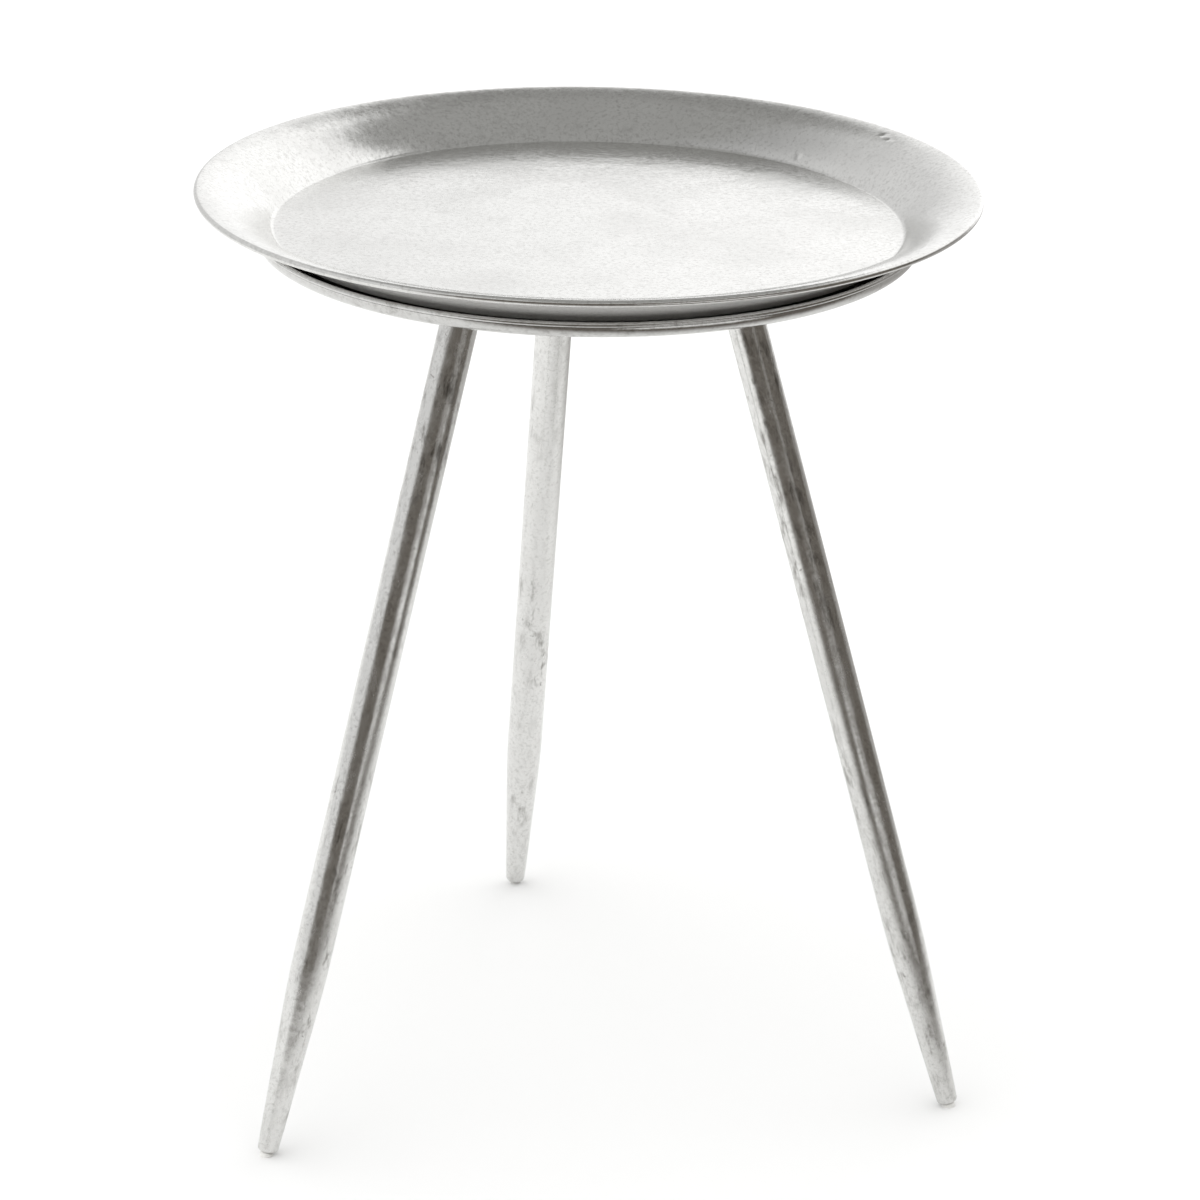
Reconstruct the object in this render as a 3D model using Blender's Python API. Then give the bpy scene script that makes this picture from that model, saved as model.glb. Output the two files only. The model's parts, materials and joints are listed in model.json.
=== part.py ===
"""A round side table: a lift-off spun tray that nests in a shallow pan on three splayed legs.

The tray stands on three rubber pads inside the pan. A reinforcing plate under the pan carries
three cast brackets, each bolted through plate and pan. A leg is a steel tube, swaged to a thin
tip, with a threaded insert in its top: a stud screws the leg to its bracket. A plastic glide
closes the tip and stands flat on the floor.

Metres, +Z up. The origin is on the floor, on the table's axis, and one leg points along +Y.
"""

import math

import bmesh
import bpy
from mathutils import Vector

# Overall
TABLE_HEIGHT = 0.460
GAP = 0.0003  # left between pieces that touch
SHEET = 0.0012  # tray and pan metal

# Tray
TRAY_RADIUS = 0.190
TRAY_DEPTH = 0.020  # rim top to floor
TRAY_FLOOR_RADIUS = 0.153
TRAY_FLOOR_FILLET = 0.003
TRAY_BEAD = 0.0016  # radius of the curled rim
TRAY_RIM_SLOPE = math.radians(8)
TRAY_SEGMENTS = 60

# Pan
PAN_RADIUS = 0.162
PAN_RIM_HEIGHT = TABLE_HEIGHT - 0.0189
PAN_UNDERSIDE = TABLE_HEIGHT - 0.0274
PAN_CORNER = 0.006  # outside radius between wall and floor
PAN_BEAD = 0.0013
PAN_SEGMENTS = 60

# Rubber pads that the tray stands on
PAD_RADIUS = 0.009
PAD_CIRCLE = 0.122
PAD_BEVEL = 0.0006
PAD_AZIMUTHS = {"front": 270, "right": 30, "left": 150}

# Reinforcing plate
PLATE_RADIUS = 0.105
PLATE_THICKNESS = 0.0025
PLATE_BEVEL = 0.0005

# Legs
LEG_AZIMUTHS = {"back": 90, "left": 210, "right": 330}
FOOT_CIRCLE = 0.200  # leg axes at floor level
ROOT_CIRCLE = 0.077  # leg axes at the root height
ROOT_HEIGHT = 0.415
LEG_TOP_HEIGHT = 0.4137
LEG_RADIUS = 0.00925
LEG_WALL = 0.0012
TAPER_LENGTH = 0.090
TIP_RADIUS = 0.0052
TIP_BORE = 0.0026
TIP_ROUNDING = 0.0020
TIP_LIFT = 0.0020  # tube end above the floor, along the leg
LEG_SEGMENTS = 24

# Stud and insert that fasten a leg
STUD_RADIUS = 0.0040
STUD_CHAMFER = 0.0006
STUD_IN_LEG = 0.018
STUD_IN_BRACKET = 0.0115
INSERT_LENGTH = 0.024

# Glide in a leg's tip
GLIDE_RADIUS = 0.0032
GLIDE_STEM = 0.012

# Bracket
BRACKET_LENGTH = 0.060  # along the tangent
BRACKET_WIDTH = 0.030
BRACKET_FLANGE = 0.003
BOSS_RADIUS = 0.011

# Bolts and nuts that hold a bracket
BOLT_RADIUS = 0.0025
BOLT_SPREAD = 0.0205  # either side of the leg
BOLT_HEAD_RADIUS = 0.00475
BOLT_HEAD_HEIGHT = 0.0024
BOLT_PAST_NUT = 0.0012
NUT_FLATS = 0.008
NUT_HEIGHT = 0.004

# Derived
SPLAY = math.atan2(FOOT_CIRCLE - ROOT_CIRCLE, ROOT_HEIGHT)
PAN_FLOOR = PAN_UNDERSIDE + SHEET
TRAY_FLOOR = TABLE_HEIGHT - TRAY_DEPTH
TRAY_UNDERSIDE = TRAY_FLOOR - SHEET
PLATE_TOP = PAN_UNDERSIDE - GAP
FLANGE_TOP = PLATE_TOP - PLATE_THICKNESS - GAP
FLANGE_UNDERSIDE = FLANGE_TOP - BRACKET_FLANGE
NUT_TOP = FLANGE_UNDERSIDE - GAP
BOLT_HEAD_SEAT = PAN_FLOOR + GAP
HOLE_RADIUS = BOLT_RADIUS + GAP
LEG_TOP = LEG_TOP_HEIGHT / math.cos(SPLAY)  # along the leg from the floor
BRACKET_CIRCLE = FOOT_CIRCLE - FLANGE_UNDERSIDE * math.tan(SPLAY)
UP = Vector((0, 0, 1))


def clear_scene():
    for obj in list(bpy.data.objects):
        bpy.data.objects.remove(obj, do_unlink=True)


def material(name, colour, roughness, metallic):
    mat = bpy.data.materials.new(name)
    mat.use_nodes = True
    shader = mat.node_tree.nodes["Principled BSDF"]
    shader.inputs["Base Color"].default_value = (*colour, 1)
    shader.inputs["Roughness"].default_value = roughness
    shader.inputs["Metallic"].default_value = metallic
    return mat


def mesh_from(bm, name):
    """Turns a finished bmesh into a smooth-shaded mesh with its sharp edges kept."""
    bmesh.ops.recalc_face_normals(bm, faces=bm.faces)
    mesh = bpy.data.meshes.new(name)
    bm.to_mesh(mesh)
    bm.free()
    mesh.shade_smooth()
    mesh.set_sharp_from_angle(angle=math.radians(35))
    return mesh


def place(name, mesh, mat=None, location=(0, 0, 0), turn=(0, 0, 0), parent=None):
    """Adds an object; its material sits on the object, so copies can share a mesh."""
    obj = bpy.data.objects.new(name, mesh)
    bpy.context.collection.objects.link(obj)
    obj.location = location
    obj.rotation_euler = turn
    obj.parent = parent
    if mat:
        if not mesh.materials:
            mesh.materials.append(None)
        obj.material_slots[0].link = "OBJECT"
        obj.material_slots[0].material = mat
    return obj


def on_circle(radius, azimuth, height):
    """A point at an azimuth in degrees around the table's axis."""
    angle = math.radians(azimuth)
    return Vector((radius * math.cos(angle), radius * math.sin(angle), height))


def arc(centre, radius, start, end, steps):
    """Profile points on a circle, angles in degrees from the +X side."""
    points = []
    for i in range(steps + 1):
        angle = math.radians(start + (end - start) * i / steps)
        points.append(Vector((centre[0] + radius * math.cos(angle), centre[1] + radius * math.sin(angle))))
    return points


def round_outline(radius, count, centre=(0, 0, 0)):
    """Evenly spaced (x, y) points on a circle."""
    angles = [math.tau * i / count for i in range(count)]
    return [(centre[0] + radius * math.cos(a), centre[1] + radius * math.sin(a)) for a in angles]


def offset(path, distance):
    """The path moved to its right-hand side by a distance."""
    moved = []
    for i, point in enumerate(path):
        before = path[max(i - 1, 0)]
        after = path[min(i + 1, len(path) - 1)]
        along = (after - before).normalized()
        moved.append(point + Vector((along.y, -along.x)) * distance)
    return moved


def turned(profile, segments, name, ring=False):
    """Spins a profile of (radius, height) points round Z; a ring's profile is a closed loop."""
    bm = bmesh.new()
    verts = [bm.verts.new((point[0], 0, point[1])) for point in profile]
    edges = [bm.edges.new(pair) for pair in zip(verts, verts[1:])]
    if ring:
        edges.append(bm.edges.new((verts[-1], verts[0])))
    bmesh.ops.spin(
        bm, geom=verts + edges, axis=UP, cent=(0, 0, 0), angle=math.tau, steps=segments, use_merge=True
    )
    bmesh.ops.remove_doubles(bm, verts=bm.verts, dist=1e-6)
    return mesh_from(bm, name)


def prism(bm, outline, bottom, top):
    """Adds an upright prism over an outline of (x, y) points."""
    face = bm.faces.new([bm.verts.new((x, y, bottom)) for x, y in outline])
    raised = bmesh.ops.extrude_face_region(bm, geom=[face])
    verts = [item for item in raised["geom"] if isinstance(item, bmesh.types.BMVert)]
    bmesh.ops.translate(bm, verts=verts, vec=UP * (top - bottom))


def trim(bm, point, outward):
    """Cuts away what lies beyond a plane and closes the cut."""
    geom = list(bm.verts) + list(bm.edges) + list(bm.faces)
    bmesh.ops.bisect_plane(bm, geom=geom, plane_co=point, plane_no=outward, clear_outer=True)
    rim = [edge for edge in bm.edges if edge.is_boundary]
    bmesh.ops.holes_fill(bm, edges=rim)


def rod(radius, bottom, top, segments):
    """A bmesh cylinder along Z."""
    bm = bmesh.new()
    bmesh.ops.create_cone(
        bm, cap_ends=True, segments=segments, radius1=radius, radius2=radius, depth=top - bottom
    )
    bmesh.ops.translate(bm, verts=bm.verts, vec=UP * (top + bottom) / 2)
    return bm


def combine(obj, other, operation):
    """Joins or cuts an object with another, which is then only a construction shape."""
    modifier = obj.modifiers.new(f"{operation}_{other.name}", "BOOLEAN")
    modifier.operation = operation
    modifier.solver = "EXACT"
    modifier.object = other
    other.hide_render = True
    other.display_type = "WIRE"


def baked(obj, helpers):
    """The mesh an object has after its modifiers; removes the object and its helpers."""
    graph = bpy.context.evaluated_depsgraph_get()
    mesh = bpy.data.meshes.new_from_object(obj.evaluated_get(graph))
    for gone in (obj, *helpers):
        bpy.data.objects.remove(gone, do_unlink=True)
    mesh.materials.clear()
    return mesh


def make_tray(mat):
    """A flat floor, and a wall that flares out in one arc to a nearly level curled rim."""
    lean = TRAY_RIM_SLOPE
    bead_centre = Vector((TRAY_RADIUS - TRAY_BEAD, TABLE_HEIGHT - TRAY_BEAD))
    rim = bead_centre + Vector((-math.sin(lean), math.cos(lean))) * TRAY_BEAD
    foot = Vector((TRAY_FLOOR_RADIUS, TRAY_FLOOR))
    chord = rim - foot
    steep = 2 * math.atan2(chord.y, chord.x) - lean
    radius = chord.length / 2 / math.sin((steep - lean) / 2)
    centre = rim + Vector((math.sin(lean), -math.cos(lean))) * radius
    flare = arc(centre, radius, 90 + math.degrees(steep), 90 + math.degrees(lean), 8)
    tangent = TRAY_FLOOR_FILLET * math.tan(steep / 2)
    fillet_centre = (TRAY_FLOOR_RADIUS - tangent, TRAY_FLOOR + TRAY_FLOOR_FILLET)
    fillet = arc(fillet_centre, TRAY_FLOOR_FILLET, -90, -90 + math.degrees(steep), 3)
    top = [Vector((0, TRAY_FLOOR)), *fillet, *flare[1:]]
    bead = arc(bead_centre, TRAY_BEAD, 90, -180, 6)
    underside = [Vector((0, TRAY_UNDERSIDE)), *offset(top, SHEET)[1:-1]]
    section = [*top, *bead, *reversed(underside)]
    place("tray", turned(section, TRAY_SEGMENTS, "tray"), mat)


def bolt_places():
    """Where the bolts go: node suffix, point in plan and leg azimuth."""
    for leg, azimuth in LEG_AZIMUTHS.items():
        outward = on_circle(1, azimuth, 0)
        tangent = UP.cross(outward)
        for mark, side in (("a", -1), ("b", 1)):
            yield f"{leg}_{mark}", outward * BRACKET_CIRCLE + tangent * side * BOLT_SPREAD, azimuth


def bolt_hole_cutter():
    bm = bmesh.new()
    for _, point, _ in bolt_places():
        prism(bm, round_outline(HOLE_RADIUS, 16, point), FLANGE_UNDERSIDE, PAN_RIM_HEIGHT)
    return place("bolt_hole_cutter", mesh_from(bm, "bolt_hole_cutter"))


def make_pan(mat, holes):
    """A shallow dish with a short upright wall, a rounded corner and a curled edge."""
    inside = PAN_RADIUS - PAN_BEAD - SHEET / 2
    inner_corner = PAN_CORNER - SHEET
    corner_centre = (inside - inner_corner, PAN_FLOOR + inner_corner)
    bead_centre = (PAN_RADIUS - PAN_BEAD, PAN_RIM_HEIGHT - PAN_BEAD)
    section = [
        (0, PAN_FLOOR),
        *arc(corner_centre, inner_corner, -90, 0, 4),
        *arc(bead_centre, PAN_BEAD, 225, -45, 6),
        *arc(corner_centre, PAN_CORNER, 0, -90, 4),
        (0, PAN_UNDERSIDE),
    ]
    pan = place("support_pan", turned(section, PAN_SEGMENTS, "support_pan"), mat)
    combine(pan, holes, "DIFFERENCE")


def make_pads(mat):
    bottom = PAN_FLOOR + GAP
    top = TRAY_UNDERSIDE - GAP
    edge = PAD_RADIUS - PAD_BEVEL
    section = [
        (0, top),
        (edge, top),
        (PAD_RADIUS, top - PAD_BEVEL),
        (PAD_RADIUS, bottom + PAD_BEVEL),
        (edge, bottom),
        (0, bottom),
    ]
    mesh = turned(section, 24, "tray_pad")
    for side, azimuth in PAD_AZIMUTHS.items():
        place(f"tray_pad_{side}", mesh, mat, on_circle(PAD_CIRCLE, azimuth, 0))


def make_plate(mat, holes):
    """A thick disc that spreads the legs' load over the thin pan."""
    bottom = PLATE_TOP - PLATE_THICKNESS
    edge = PLATE_RADIUS - PLATE_BEVEL
    section = [
        (0, PLATE_TOP),
        (edge, PLATE_TOP),
        (PLATE_RADIUS, PLATE_TOP - PLATE_BEVEL),
        (PLATE_RADIUS, bottom + PLATE_BEVEL),
        (edge, bottom),
        (0, bottom),
    ]
    plate = place("reinforcing_plate", turned(section, 48, "reinforcing_plate"), mat)
    combine(plate, holes, "DIFFERENCE")


def bracket_mesh():
    """A round-ended flange with a boss square to the leg; X points outward, Z up, origin on the floor."""
    flange = bmesh.new()
    half_width = BRACKET_WIDTH / 2
    half_straight = BRACKET_LENGTH / 2 - half_width
    outline = []
    for x, y in round_outline(half_width, 24):
        outline.append((BRACKET_CIRCLE + x, y + (half_straight if y >= 0 else -half_straight)))
    prism(flange, outline, FLANGE_UNDERSIDE, FLANGE_TOP)
    body = place("bracket_body", mesh_from(flange, "bracket_body"))

    foot = (FOOT_CIRCLE, 0, 0)
    lean = (0, -SPLAY, 0)
    boss = place("boss", mesh_from(boss_shape(), "boss"), None, foot, lean)
    face = LEG_TOP + GAP
    bore = rod(STUD_RADIUS + GAP, face - GAP, face + STUD_IN_BRACKET + GAP, 20)
    bore = place("stud_bore", mesh_from(bore, "stud_bore"), None, foot, lean)
    combine(body, boss, "UNION")
    combine(body, bore, "DIFFERENCE")
    helpers = [boss, bore]
    for side in (-1, 1):
        hole = rod(HOLE_RADIUS, NUT_TOP, PLATE_TOP, 16)
        spot = (BRACKET_CIRCLE, side * BOLT_SPREAD, 0)
        hole = place(f"flange_hole_{len(helpers)}", mesh_from(hole, "flange_hole"), None, spot)
        combine(body, hole, "DIFFERENCE")
        helpers.append(hole)
    return baked(body, helpers)


def boss_shape():
    """The boss in the leg's own frame, cut level half way up the flange."""
    bm = rod(BOSS_RADIUS, LEG_TOP + GAP, LEG_TOP + BOSS_RADIUS * 3, 28)
    world_up = Vector((math.sin(SPLAY), 0, math.cos(SPLAY)))
    trim(bm, world_up * (FLANGE_UNDERSIDE + BRACKET_FLANGE / 2), world_up)
    return bm


def leg_mesh():
    """The tube's wall: outside from the top down, round the tip, and up the bore."""
    tip = TIP_LIFT
    rounding = arc((TIP_RADIUS - TIP_ROUNDING, tip + TIP_ROUNDING), TIP_ROUNDING, 0, -90, 4)
    taper_top = tip + TAPER_LENGTH
    bore = LEG_RADIUS - LEG_WALL
    section = [
        (LEG_RADIUS, LEG_TOP),
        (LEG_RADIUS, taper_top),
        *rounding,
        (TIP_BORE, tip),
        (TIP_BORE, tip + GLIDE_STEM * 1.5),
        (bore, taper_top),
        (bore, LEG_TOP),
    ]
    return turned(section, LEG_SEGMENTS, "leg", ring=True)


def insert_mesh():
    outside = LEG_RADIUS - LEG_WALL - GAP
    inside = STUD_RADIUS + GAP
    bottom = LEG_TOP - INSERT_LENGTH
    section = [(outside, LEG_TOP), (outside, bottom), (inside, bottom), (inside, LEG_TOP)]
    return turned(section, 20, "leg_insert", ring=True)


def stud_mesh():
    top = LEG_TOP + GAP + STUD_IN_BRACKET
    bottom = LEG_TOP - STUD_IN_LEG
    end = STUD_RADIUS - STUD_CHAMFER
    section = [
        (0, top),
        (end, top),
        (STUD_RADIUS, top - STUD_CHAMFER),
        (STUD_RADIUS, bottom + STUD_CHAMFER),
        (end, bottom),
        (0, bottom),
    ]
    return turned(section, 16, "leg_stud")


def glide_mesh():
    """A stem in the tip's bore and a pad under the tube's end, cut level with the floor."""
    stem = TIP_BORE - GAP
    shoulder = TIP_LIFT - GAP
    below = -GLIDE_RADIUS
    section = [
        (0, TIP_LIFT + GLIDE_STEM),
        (stem, TIP_LIFT + GLIDE_STEM),
        (stem, shoulder),
        (GLIDE_RADIUS, shoulder),
        (GLIDE_RADIUS, below),
        (0, below),
    ]
    blank = turned(section, 20, "glide_blank")
    bm = bmesh.new()
    bm.from_mesh(blank)
    bpy.data.meshes.remove(blank)
    world_up = Vector((math.sin(SPLAY), 0, math.cos(SPLAY)))
    trim(bm, Vector((0, 0, 0)), -world_up)
    return mesh_from(bm, "foot_glide")


def make_legs(metal, steel, plastic):
    """Each leg and its fittings hang on an empty at the foot, whose +Z runs up the leg."""
    pieces = (
        ("leg", leg_mesh(), metal),
        ("leg_insert", insert_mesh(), steel),
        ("leg_stud", stud_mesh(), steel),
        ("foot_glide", glide_mesh(), plastic),
    )
    bracket = bracket_mesh()
    for leg, azimuth in LEG_AZIMUTHS.items():
        turn = math.radians(azimuth)
        frame = place(f"leg_frame_{leg}", None, None, on_circle(FOOT_CIRCLE, azimuth, 0), (0, -SPLAY, turn))
        for name, mesh, mat in pieces:
            place(f"{name}_{leg}", mesh, mat, parent=frame)
        place(f"leg_bracket_{leg}", bracket, steel, (0, 0, 0), (0, 0, turn))


def bolt_mesh():
    """A button-head bolt, its head's underside at the pan's floor."""
    seat = BOLT_HEAD_SEAT
    crown = [
        (
            BOLT_HEAD_RADIUS * math.cos(math.radians(angle)),
            seat + BOLT_HEAD_HEIGHT * (0.2 + 0.8 * math.sin(math.radians(angle))),
        )
        for angle in (65, 35, 0)
    ]
    end = NUT_TOP - NUT_HEIGHT - BOLT_PAST_NUT
    section = [
        (0, crown[0][1]),
        *crown,
        (BOLT_HEAD_RADIUS, seat),
        (BOLT_RADIUS, seat),
        (BOLT_RADIUS, end + BOLT_RADIUS * 0.2),
        (BOLT_RADIUS * 0.8, end),
        (0, end),
    ]
    return turned(section, 16, "bracket_bolt")


def nut_mesh():
    bm = bmesh.new()
    prism(bm, round_outline(NUT_FLATS / 2 / math.cos(math.pi / 6), 6), NUT_TOP - NUT_HEIGHT, NUT_TOP)
    body = place("nut_body", mesh_from(bm, "nut_body"))
    bore = rod(HOLE_RADIUS, NUT_TOP - NUT_HEIGHT - GAP, NUT_TOP + GAP, 16)
    bore = place("nut_bore", mesh_from(bore, "nut_bore"))
    combine(body, bore, "DIFFERENCE")
    return baked(body, [bore])


def make_bolts(mat):
    bolt = bolt_mesh()
    nut = nut_mesh()
    for suffix, point, azimuth in bolt_places():
        turn = (0, 0, math.radians(azimuth))
        place(f"bracket_bolt_{suffix}", bolt, mat, point, turn)
        place(f"bracket_nut_{suffix}", nut, mat, point, turn)


def build():
    clear_scene()
    silver = material("nickel_plate", (0.80, 0.79, 0.77), 0.28, 1.0)
    steel = material("zinc_plated_steel", (0.62, 0.63, 0.64), 0.42, 1.0)
    fastener = material("fastener_steel", (0.50, 0.50, 0.51), 0.35, 1.0)
    rubber = material("black_rubber", (0.03, 0.03, 0.03), 0.85, 0.0)
    plastic = material("natural_nylon", (0.80, 0.80, 0.78), 0.45, 0.0)
    holes = bolt_hole_cutter()
    make_tray(silver)
    make_pan(silver, holes)
    make_pads(rubber)
    make_plate(steel, holes)
    make_legs(silver, steel, plastic)
    make_bolts(fastener)


build()
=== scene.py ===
"""Looks of the round tray side table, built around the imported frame.

Every visible sheet, tube and fastener is a finer piece in the place of its CAD node: the spun
tray and pan with their rolled edges, swaged leg tubes, cast brackets, threaded studs and bolts.
The metal is an antiqued nickel plate: bright, clouded, speckled and a little scratched.

Metres, +Z up, in the frame's own axes: the floor is at 0 and the back leg points along +Y.
"""

import json
import math
import random

import bmesh
import bpy
from mathutils import Matrix, Vector


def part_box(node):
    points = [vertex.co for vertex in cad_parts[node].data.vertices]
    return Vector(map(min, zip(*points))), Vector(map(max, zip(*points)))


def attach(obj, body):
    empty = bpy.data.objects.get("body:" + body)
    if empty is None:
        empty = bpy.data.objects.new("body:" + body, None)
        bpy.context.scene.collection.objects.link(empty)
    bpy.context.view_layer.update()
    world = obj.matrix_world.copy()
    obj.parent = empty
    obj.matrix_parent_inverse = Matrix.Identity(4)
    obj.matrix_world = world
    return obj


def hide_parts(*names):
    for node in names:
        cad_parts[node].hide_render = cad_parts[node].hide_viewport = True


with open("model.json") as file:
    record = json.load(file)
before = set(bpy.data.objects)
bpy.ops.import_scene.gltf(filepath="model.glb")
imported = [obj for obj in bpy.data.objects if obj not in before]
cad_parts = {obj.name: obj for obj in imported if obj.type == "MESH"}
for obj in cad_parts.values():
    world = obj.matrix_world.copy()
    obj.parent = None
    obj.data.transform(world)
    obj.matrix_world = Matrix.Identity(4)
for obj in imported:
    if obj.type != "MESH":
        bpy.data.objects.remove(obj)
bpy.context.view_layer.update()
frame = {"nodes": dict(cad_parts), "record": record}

GAP = 0.0003  # between pieces that touch on the real table

# Sheet metal
SHEET = 0.0012
CURL_GROOVE = 0.00035  # depth of the line where a rolled edge meets the wall
TRAY_SEGMENTS = 360
TRAY_FLOOR_RADIUS = 0.153
TRAY_FILLET = 0.003
TRAY_BEAD = 0.0016
TRAY_RIM_SLOPE = math.radians(8)
PAN_SEGMENTS = 240
PAN_CORNER = 0.006
PAN_BEAD = 0.0013
PAN_FLOOR_RINGS = (0, 0.11, 0.14)
PLATE_SEGMENTS = 144
PLATE_EDGE = 0.0005

# Knocks in the tray's flare: three plain ones as reach, azimuth, radius and depth, then faint ones
KNOCKS = (
    (0.1815, 24.8, 0.0030, 0.00040),
    (0.1795, 22.6, 0.0020, 0.00025),
    (0.1565, 37.0, 0.0024, 0.00045),
)
FAINT_KNOCKS = 9
FAINT_KNOCK_REACH = (0.157, 0.184)
FAINT_KNOCK_RADIUS = (0.003, 0.006)
FAINT_KNOCK_DEPTH = 0.00005

# Rubber pads
PAD_EDGE = 0.0011
PAD_FOOT_EDGE = 0.0005
PAD_RING = 0.0006  # radius of the moulded ring
PAD_DISH = 0.0004  # how far the middle lies below the top

# Legs
LEG_WALL = 0.0012
LEG_SEGMENTS = 72
TAPER_LENGTH = 0.090
TAPER_BLEND = 0.014  # half the length over which the tube turns into the taper
TIP_RADIUS = 0.0052
TIP_BORE = 0.0026
TIP_BORE_LENGTH = 0.018
TIP_ROUNDING = 0.0022
LEG_TOP_ROUNDING = 0.0004
GLIDE_BARBS = 3
GLIDE_BARB_PITCH = 0.0025
GLIDE_BEVEL = 0.001
GLIDE_EDGE = 0.0005

# Fasteners
THREAD_DEPTH = 0.54  # of its pitch
STUD_PITCH = 0.00125
BOLT_PITCH = 0.0008
BOLT_RADIUS = 0.0025
BOLT_HEAD_RADIUS = BOLT_RADIUS * 1.9
BOLT_HEAD_EDGE = 0.0002
HEX_KEY_FLATS = 0.003
HEX_KEY_DEPTH = 0.0013
NUT_FLATS = 0.008
NUT_CHAMFER = math.radians(30)
NUT_SINK = 0.0004

# Cast brackets: a flange with round ends and a boss
FLANGE_THICKNESS = 0.003
FLANGE_END_RADIUS = 0.015
FLANGE_HALF_STRAIGHT = 0.015
BOSS_RADIUS = 0.011
BOSS_LENGTH = 0.033
BOSS_BORE = 0.012
CAST_VOXEL = 0.00065
CAST_SOFTENING = 9

# Camera and studio
CAMERA_AZIMUTH = math.radians(-10.4)
CAMERA_ELEVATION = math.radians(21.42)
CAMERA_DISTANCE = 2.209
CAMERA_ROLL = math.radians(0.79)
CAMERA_LENS = 132.24
CAMERA_SHIFT = (0.0144, 0.0239)
DARK_WAY = math.radians(35)  # the room's dark side, to the right of the camera
NEAR_FLOOR_RADIUS = 2.2
FAR_FLOOR_RADIUS = 60.0
FLOOR_SEGMENTS = 128

UP = Vector((0, 0, 1))
LEGS = ("back", "left", "right")
BOLT_MARKS = "ab"
NODES = frame["nodes"]


# ---------------------------------------------------------------- frame measures


def mount(name):
    """A mount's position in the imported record."""
    for entry in frame["record"]["mounts"]:
        if entry["name"] == name:
            return Vector(entry["pos_m"])
    raise KeyError(name)


def middle(node):
    low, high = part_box(node)
    return (low + high) / 2


def span(node, origin, axis):
    """How far a CAD node reaches along an axis, and its largest radius around it."""
    heights = []
    radius = 0
    for vert in NODES[node].data.vertices:
        from_origin = vert.co - origin
        height = from_origin.dot(axis)
        heights.append(height)
        radius = max(radius, (from_origin - axis * height).length)
    return min(heights), max(heights), radius


def bolt_middles(leg):
    return [middle(f"bracket_bolt_{leg}_{mark}") for mark in BOLT_MARKS]


def plan_point(reach, azimuth):
    """A point in plan, by its distance from the axis and its angle in degrees from +X."""
    angle = math.radians(azimuth)
    return Vector((reach * math.cos(angle), reach * math.sin(angle)))


def leg_frame(leg):
    """A leg's own axes: origin on the floor, +Z up the leg, +X outward."""
    foot = mount(f"foot_{leg}")
    axis = (middle(f"leg_stud_{leg}") - foot).normalized()
    side = UP.cross(foot).normalized()
    out = side.cross(axis)
    turn = Matrix((out, side, axis)).transposed()
    return Matrix.Translation(foot) @ turn.to_4x4()


# ---------------------------------------------------------------- mesh tools


def arc(centre, radius, start, end, steps):
    """Profile points on a circle, angles in degrees from the +X side."""
    points = []
    for i in range(steps + 1):
        angle = math.radians(start + (end - start) * i / steps)
        x = centre[0] + radius * math.cos(angle)
        points.append(Vector((x, centre[1] + radius * math.sin(angle))))
    return points


def offset(path, distance):
    """The path moved to its right-hand side by a distance."""
    moved = []
    for i, point in enumerate(path):
        before = path[max(i - 1, 0)]
        after = path[min(i + 1, len(path) - 1)]
        along = (after - before).normalized()
        moved.append(point + Vector((along.y, -along.x)) * distance)
    return moved


def circle(radius, count, centre=(0, 0)):
    angles = [math.tau * i / count for i in range(count)]
    return [(centre[0] + radius * math.cos(a), centre[1] + radius * math.sin(a)) for a in angles]


def finished(bm, name, sharp=30, matrix=None):
    """A mesh from a bmesh, smooth up to an angle and placed by a matrix."""
    if matrix is not None:
        bmesh.ops.transform(bm, matrix=matrix, verts=bm.verts)
    bmesh.ops.recalc_face_normals(bm, faces=bm.faces)
    mesh = bpy.data.meshes.new(name)
    bm.to_mesh(mesh)
    bm.free()
    mesh.shade_smooth()
    mesh.set_sharp_from_angle(angle=math.radians(sharp))
    return mesh


def turned(profile, segments, ring=False):
    """A bmesh spun round Z from (radius, height) points; a ring's profile is a closed loop."""
    bm = bmesh.new()
    verts = [bm.verts.new((point[0], 0, point[1])) for point in profile]
    edges = [bm.edges.new(pair) for pair in zip(verts, verts[1:])]
    if ring:
        edges.append(bm.edges.new((verts[-1], verts[0])))
    bmesh.ops.spin(
        bm, geom=verts + edges, axis=UP, cent=(0, 0, 0), angle=math.tau, steps=segments, use_merge=True
    )
    bmesh.ops.remove_doubles(bm, verts=bm.verts, dist=1e-6)
    return bm


def prism(outline, bottom, top):
    """A bmesh of an outline in plan, drawn up between two heights."""
    bm = bmesh.new()
    face = bm.faces.new([bm.verts.new((x, y, bottom)) for x, y in outline])
    raised = bmesh.ops.extrude_face_region(bm, geom=[face])
    verts = [item for item in raised["geom"] if isinstance(item, bmesh.types.BMVert)]
    bmesh.ops.translate(bm, verts=verts, vec=UP * (top - bottom))
    return bm


def thread(radius, pitch, bottom, top, segments=36, steps=6):
    """A screw thread: rings whose radius follows a helix, run out to plain ends."""
    bm = bmesh.new()
    depth = pitch * THREAD_DEPTH
    count = round((top - bottom) / pitch * steps)
    rings = []
    for i in range(count + 1):
        height = bottom + (top - bottom) * i / count
        run_out = min(1, (height - bottom) / pitch, (top - height) / pitch)
        ring = []
        for k in range(segments):
            phase = (height / pitch - k / segments) % 1
            reach = radius - depth + depth * run_out * (1 - abs(2 * phase - 1))
            angle = math.tau * k / segments
            ring.append(bm.verts.new((reach * math.cos(angle), reach * math.sin(angle), height)))
        rings.append(ring)
    for low, high in zip(rings, rings[1:]):
        for k in range(segments):
            after = (k + 1) % segments
            bm.faces.new((low[k], low[after], high[after], high[k]))
    bm.faces.new(rings[0])
    bm.faces.new(rings[-1])
    return bm


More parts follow.
